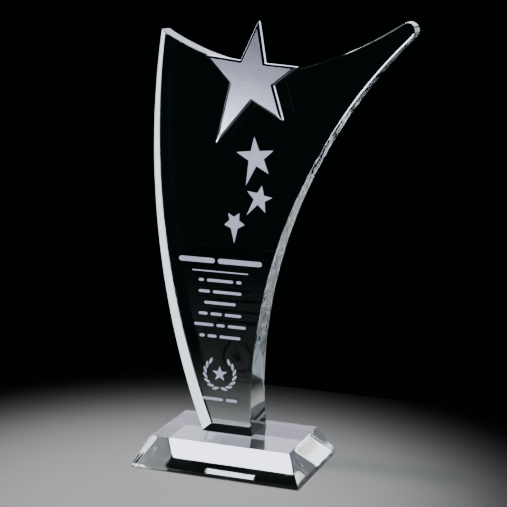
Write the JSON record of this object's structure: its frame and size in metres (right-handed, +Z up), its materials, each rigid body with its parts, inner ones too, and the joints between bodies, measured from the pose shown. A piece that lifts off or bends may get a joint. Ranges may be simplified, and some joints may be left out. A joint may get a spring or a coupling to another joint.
{
  "type": "star trophy",
  "caption": "Curved glass blade with a horn-shaped tip on a bevelled glass base, with a polished metal star and silver-filled engraving on its face.",
  "frame": {"origin": "centre of the base's flat underside, where the trophy rests", "axes": "+Z up, -Y towards the front with the star and the engraving, +X to the right seen from the front, where the horn points"},
  "size_m": [0.1658, 0.073, 0.2772],
  "materials": {
    "clear_glass": "polished optical glass with a faint green cast",
    "star_metal": "satin face with a polished rim",
    "silver_fill": "matt silver colour fill on a sand-carved floor",
    "clear_bond": "cured clear adhesive film"
  },
  "bodies": {
    "root": {"glass_base": "clear_glass", "glass_blade": "clear_glass", "blade_bond": "clear_bond", "metal_star": "star_metal", "star_bond": "clear_bond", "upper_star_fill": "silver_fill", "middle_star_fill": "silver_fill", "lower_star_fill": "silver_fill", "name_fill": "silver_fill", "rule_fill": "silver_fill", "line_1_fill": "silver_fill", "line_2_fill": "silver_fill", "line_3_fill": "silver_fill", "line_4_fill": "silver_fill", "line_5_fill": "silver_fill", "line_6_fill": "silver_fill", "emblem_fill": "silver_fill", "caption_fill": "silver_fill"}
  },
  "joints": []
}
